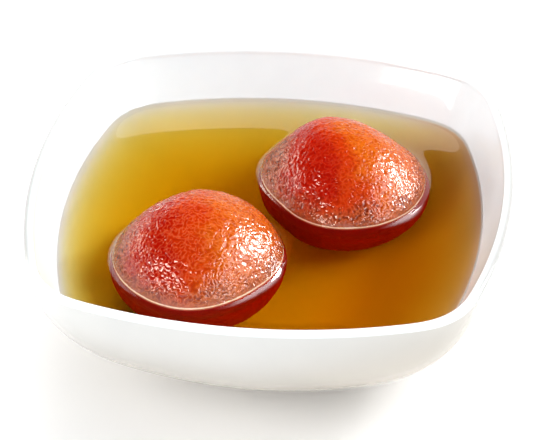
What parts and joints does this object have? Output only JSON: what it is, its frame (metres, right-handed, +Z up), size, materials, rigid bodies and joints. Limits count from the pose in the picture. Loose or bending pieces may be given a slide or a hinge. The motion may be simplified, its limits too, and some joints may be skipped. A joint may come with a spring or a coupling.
{
  "type": "gulab jamun in a bowl of syrup",
  "caption": "Fried milk-dough balls with a glossy, finely wrinkled skin, half sunk in clear amber sugar syrup in a white glazed bowl of rounded square plan on a small foot ring.",
  "frame": {"origin": "centre of the underside of the bowl's foot ring, on the surface that the bowl stands on", "axes": "+Z up; the middles of the bowl's four bulging sides lie on X and Y, the larger ball lies towards -X -Y and the smaller one towards +X +Y"},
  "size_m": [0.12, 0.12, 0.0503],
  "materials": {
    "porcelain": "white porcelain under a clear glossy glaze, bare on the foot ring",
    "sugar_syrup": "clear amber liquid with a mirror-smooth surface",
    "fried_dough": "wet, finely wrinkled orange to red-brown fried skin"
  },
  "bodies": {
    "root": {"bowl": "porcelain", "syrup": "sugar_syrup", "gulab_jamun_left": "fried_dough", "gulab_jamun_right": "fried_dough"}
  },
  "joints": []
}
